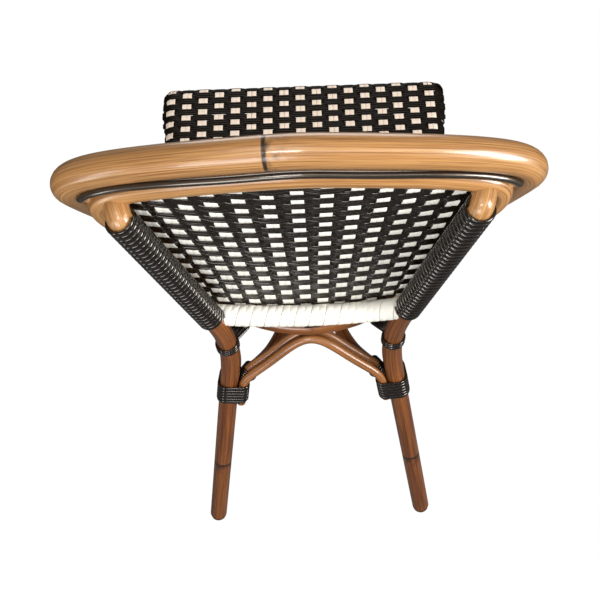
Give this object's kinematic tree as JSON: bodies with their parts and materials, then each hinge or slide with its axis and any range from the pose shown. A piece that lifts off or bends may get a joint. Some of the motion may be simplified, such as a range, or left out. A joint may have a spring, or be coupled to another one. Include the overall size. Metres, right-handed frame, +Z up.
{
  "type": "bistro armless chair",
  "caption": "Armless bistro chair with a cane-look tube frame, woven strand seat and back, and a wide curved double top rail.",
  "frame": {"origin": "middle of the chair's footprint box, on the floor", "axes": "+Z up, the front of the seat faces -Y and its back rest is at +Y, +X is the sitter's left"},
  "size_m": [0.5262, 0.5514, 0.8822],
  "materials": {
    "golden_cane": "golden tan cane-look paint, satin lacquer",
    "brown_cane": "red-brown cane-look paint, satin lacquer",
    "black_strand": "glossy black round and flat plastic strand",
    "back_weave": "woven flat strand, dark brown-black with off-white blocks",
    "seat_weave": "woven flat strand, dark brown-black with cream blocks",
    "cream_strand": "cream flat strand, slight sheen",
    "glide_nylon": "dark brown moulded nylon"
  },
  "bodies": {
    "root": {"outer_hoop": "golden_cane", "inner_hoop": "golden_cane", "hoop_piping": "black_strand", "back_bottom_rail": "brown_cane", "bottom_rail_wrap": "cream_strand", "back_weave": "back_weave", "seat_ring": "brown_cane", "seat_weave": "seat_weave", "seat_bar_front": "brown_cane", "seat_bar_rear": "brown_cane", "rear_leg_left": "brown_cane", "rear_leg_right": "brown_cane", "front_leg_left": "brown_cane", "front_leg_right": "brown_cane", "rear_glide_left": "glide_nylon", "rear_glide_right": "glide_nylon", "front_glide_left": "glide_nylon", "front_glide_right": "glide_nylon", "upright_wrap_left": "black_strand", "upright_wrap_right": "black_strand", "rear_lashing_left": "black_strand", "rear_lashing_right": "black_strand", "front_lashing_left": "black_strand", "front_lashing_right": "black_strand", "rear_knot_left": "black_strand", "rear_knot_right": "black_strand", "front_knot_left": "black_strand", "front_knot_right": "black_strand", "seat_tie_left": "black_strand", "seat_tie_right": "black_strand", "side_arch_outer_left": "brown_cane", "side_arch_outer_right": "brown_cane", "side_arch_inner_left": "brown_cane", "side_arch_inner_right": "brown_cane", "stretcher_left": "brown_cane", "stretcher_right": "brown_cane", "stretcher_knot_left": "black_strand", "stretcher_knot_right": "black_strand", "rear_arch_outer": "brown_cane", "rear_arch_inner": "brown_cane", "front_arch_outer": "brown_cane", "front_arch_inner": "brown_cane"}
  },
  "joints": []
}
